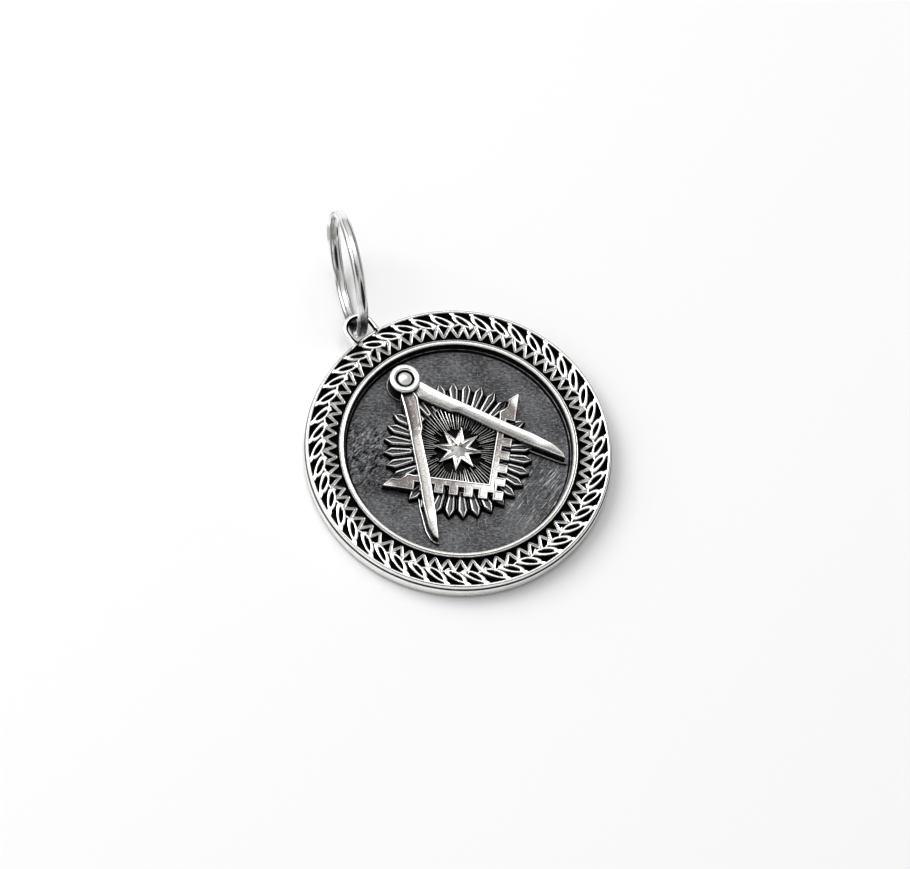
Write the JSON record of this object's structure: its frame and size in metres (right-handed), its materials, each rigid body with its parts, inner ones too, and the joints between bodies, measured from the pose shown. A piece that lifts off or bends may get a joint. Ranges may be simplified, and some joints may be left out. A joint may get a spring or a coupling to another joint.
{
  "type": "masonic pendant",
  "caption": "Round silver medal with a raised square and compasses over a ring of rays, a leaf border around the sunk field, and a loose bail ring that takes a chain.",
  "frame": {"origin": "middle of the disc's flat back face", "axes": "+Z out of the front of the disc, +Y from the disc's middle toward the bail ring, +X to the right as the medal is read"},
  "size_m": [0.0315, 0.0424, 0.0132],
  "materials": {
    "cast_silver": "cast silver, polished on the rim and the inner ring, blackened and brushed on the sunk field",
    "border_silver": "cast silver with polished tops and blackened hollows",
    "blackened_silver": "blackened silver, rubbed bright on the edges",
    "warm_silver": "rubbed silver with a slight warm tarnish",
    "bright_silver": "polished silver"
  },
  "bodies": {
    "medal": {"medal_body": "cast_silver", "wreath_border": "border_silver", "sunburst": "blackened_silver", "square": "warm_silver", "compasses": "warm_silver", "compass_rivet": "bright_silver", "centre_star": "bright_silver"},
    "bail": {"bail_ring": "bright_silver"}
  },
  "joints": [
    {"name": "bail_swing", "type": "hinge", "parent": "medal", "child": "bail", "pos_m": [0, 0.01815, 0.00186], "axis": [1, 0, 0], "range_deg": [-95, 4]}
  ]
}
